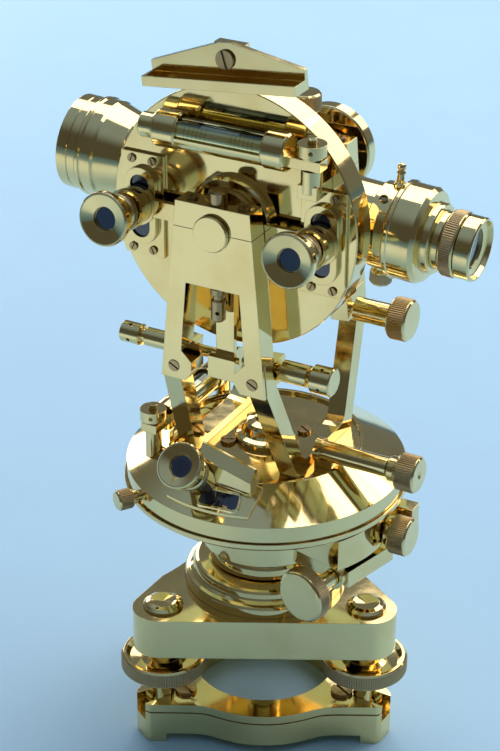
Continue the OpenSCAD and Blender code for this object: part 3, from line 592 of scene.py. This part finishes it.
def tube_screw():
    """Small slotted screw beside the sight pin: a head in two halves with a sunk slot between."""
    upward = joint_line("focus_knob_turn")[1]
    outward = math.cos(SCREW_SPREAD) * upward - math.sin(SCREW_SPREAD) * Vector((0, 1, 0))
    outward.normalize()
    base = TUBE[0] + SCREW_ALONG * MM * TUBE[1] + SCREW_SEAT * MM * outward
    turn = Z_AXIS.rotation_difference(outward)
    steps = 28
    verts = []
    for height, radius in SCREW_ROWS:
        for k in range(steps):
            angle = math.tau * k / steps
            local = Vector((radius * math.cos(angle), radius * math.sin(angle), height))
            verts.append(base + turn @ (MM * local))
    faces = band_faces(len(SCREW_ROWS), steps)
    top = (len(SCREW_ROWS) - 1) * steps
    slot_half = 3
    left = [top + k for k in range(slot_half, steps // 2 - slot_half + 1)]
    right = [top + k for k in range(steps // 2 + slot_half, steps - slot_half + 1)]
    bottom = range(len(verts), len(verts) + 4)
    verts += [verts[k] - SCREW_SLOT * MM * outward for k in (left[-1], right[0], right[-1], left[0])]
    faces += [tuple(left), tuple(right), tuple(bottom)]
    material = brass("brass_tube_screw", "flat", base, bright=BRONZE)
    fit_piece(mesh_object("tube_screw", verts, faces, material), "telescope")


# ------------------------------------------------------------------ stage, light, camera

def make_floor():
    """Wide sheet of paper just under the feet, so that its edge stays far away in every view."""
    half = 30.0
    corners = [(-half, -half, 0), (half, -half, 0), (half, half, 0), (-half, half, 0)]
    floor = mesh_object("floor", corners, [(0, 1, 2, 3)], paper_floor("pale_paper"))
    floor.location.z = CAD_BOX[0][2] - 0.05 * MM


# Rectangular lamps: name, place, point faced, width and height in metres, watts, colour.
AREA_LIGHTS = [
    ("overhead_softbox", (0.0, 1.25, 1.8), (-0.05, 1.1, 0.0), 2.4, 2.3, 39.5, DAYLIGHT),
    ("window_left", (-1.62, 1.22, 0.62), (0, 0, 0.15), 0.9, 0.85, 8.5, DAYLIGHT),
    ("window_right", (0.90, 1.84, 1.28), (0, 0, 0.3), 0.9, 0.9, 4.6, SOFT_DAYLIGHT),
]


def add_light(name, data, location):
    light = bpy.data.objects.new(name, data)
    light.location = location
    bpy.context.scene.collection.objects.link(light)
    return light


def area_light(name, location, target, width, height, power, colour):
    data = bpy.data.lights.new(name, "AREA")
    data.shape = "RECTANGLE"
    data.size = width
    data.size_y = height
    data.energy = power
    data.color = colour
    light = add_light(name, data, location)
    direction = Vector(target) - Vector(location)
    light.rotation_mode = "QUATERNION"
    light.rotation_quaternion = direction.to_track_quat("-Z", "Y")


def floor_glow():
    """Warm pool of light on the floor well in front of the object, seen in the upright faces."""
    data = bpy.data.lights.new("floor_glow", "SPOT")
    data.energy = 54
    data.color = LAMPLIGHT
    data.spot_size = math.radians(52)
    data.spot_blend = 1.0
    data.shadow_soft_size = 0.05
    add_light("floor_glow", data, (-0.32, -0.66, 1.25))


def make_lights():
    for light in AREA_LIGHTS:
        area_light(*light)
    floor_glow()


def make_world():
    """Dim room, darker in front than behind, under a pale ceiling; the camera sees a plain backdrop."""
    world = bpy.data.worlds.new("room")
    world.use_nodes = True
    tree = world.node_tree
    tree.nodes.clear()
    direction = add(tree, "ShaderNodeTexCoord").outputs["Generated"]
    parts = add(tree, "ShaderNodeSeparateXYZ", {0: direction})
    room = mix_colour(tree, ramp(tree, parts.outputs[1], -0.5, 0.5), ROOM_FRONT, ROOM_BACK)
    room = mix_colour(tree, ramp(tree, parts.outputs[2], 0.5, 0.9), room, ROOM_CEILING)
    seen = add(tree, "ShaderNodeLightPath").outputs["Is Camera Ray"]
    colour = mix_colour(tree, seen, room, BACKDROP)
    background = add(tree, "ShaderNodeBackground", {"Color": colour, "Strength": 1.0})
    output = add(tree, "ShaderNodeOutputWorld")
    tree.links.new(background.outputs[0], output.inputs[0])
    bpy.context.scene.world = world


def make_camera():
    """Long lens looking down on the front of the object from its right."""
    flat = math.cos(CAMERA_ELEVATION)
    back = Vector((math.sin(CAMERA_AZIMUTH) * flat, -math.cos(CAMERA_AZIMUTH) * flat,
                   math.sin(CAMERA_ELEVATION)))
    right = Vector((math.cos(CAMERA_AZIMUTH), math.sin(CAMERA_AZIMUTH), 0))
    up = back.cross(right)
    turned_right = math.cos(CAMERA_ROLL) * right + math.sin(CAMERA_ROLL) * up
    turned_up = -math.sin(CAMERA_ROLL) * right + math.cos(CAMERA_ROLL) * up
    target = Vector((0, 0, TARGET_HEIGHT)) + TARGET_SHIFT * right
    data = bpy.data.cameras.new("camera")
    data.sensor_fit = "AUTO"
    data.sensor_width = SENSOR
    data.lens = LENS
    data.clip_start = 0.05
    data.clip_end = 50.0
    camera = bpy.data.objects.new("camera", data)
    camera.rotation_mode = "QUATERNION"
    camera.rotation_quaternion = Matrix((turned_right, turned_up, back)).transposed().to_quaternion()
    camera.location = target + CAMERA_DISTANCE * back
    bpy.context.scene.collection.objects.link(camera)
    bpy.context.scene.camera = camera


paint_brass()
paint_silver()
paint_glass()
add_rims()
reader_window_frame()
reader_window_glass()
tube_screw()
make_floor()
make_lights()
make_world()
make_camera()
bpy.context.scene.view_settings.view_transform = "Standard"
